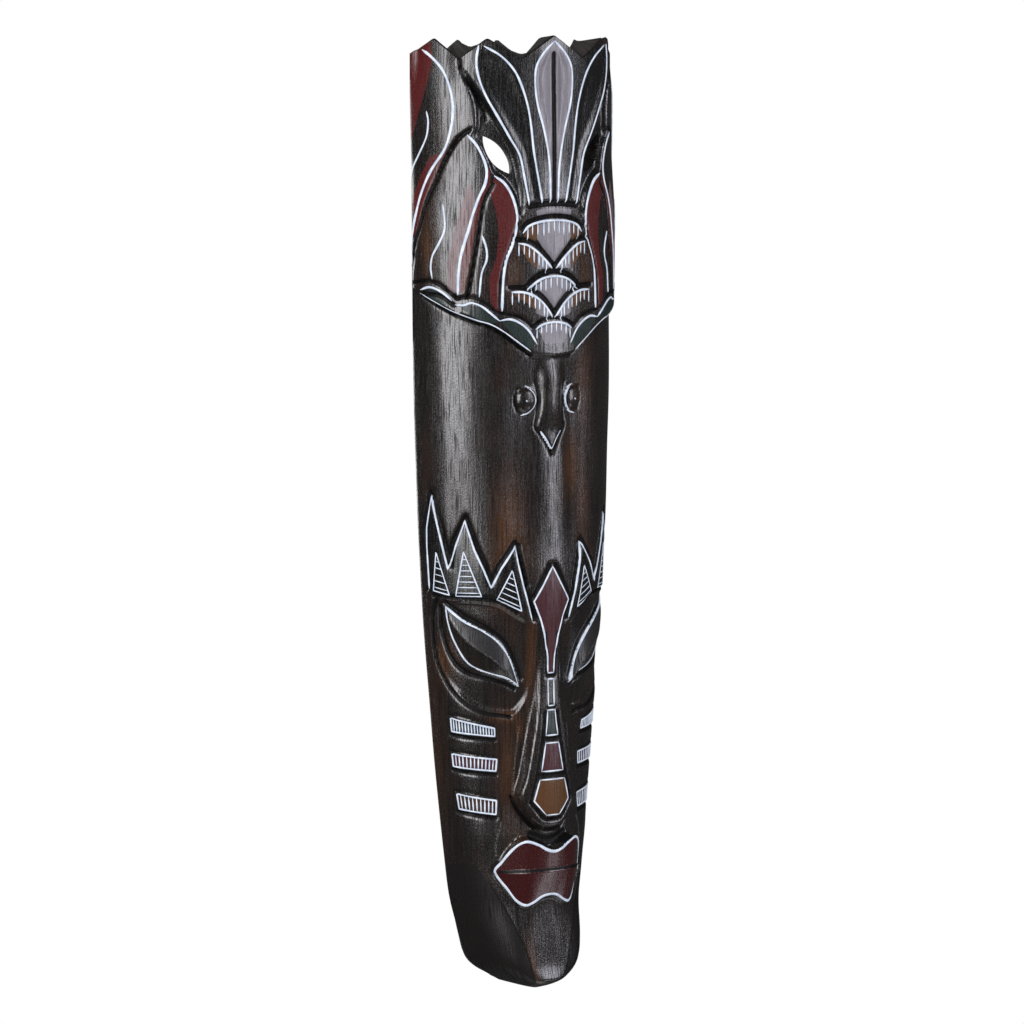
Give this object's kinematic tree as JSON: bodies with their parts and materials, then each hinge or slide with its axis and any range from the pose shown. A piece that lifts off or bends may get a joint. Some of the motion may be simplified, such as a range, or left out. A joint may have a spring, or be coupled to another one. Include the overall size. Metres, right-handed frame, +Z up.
{
  "type": "carved wooden wall mask",
  "caption": "Tall hollow-backed carved wooden wall mask with a pierced zig-zag crown, raised painted relief and a swinging ring hanger screwed into its hollow.",
  "frame": {"origin": "the hook point: on the wall plane, at the height where the raised ring rests on the wall's hook", "axes": "+X to the viewer's right, +Y towards the wall, +Z up"},
  "size_m": [0.122, 0.045, 0.5],
  "materials": {
    "painted_wood": "semi-gloss dark stain with hand-painted lines",
    "hanger_steel": "zinc plated, satin",
    "screw_brass": "yellow zinc plated"
  },
  "bodies": {
    "mask": {"mask_body": "painted_wood", "hanger_strap": "hanger_steel", "strap_screw_upper": "screw_brass", "strap_screw_lower": "screw_brass"},
    "ring": {"hanger_ring": "hanger_steel"}
  },
  "joints": [
    {"name": "ring_swing", "type": "hinge", "parent": "mask", "child": "ring", "pos_m": [0, -0.0296, -0.0157], "axis": [1, 0, 0], "range_deg": [0, 180]}
  ]
}
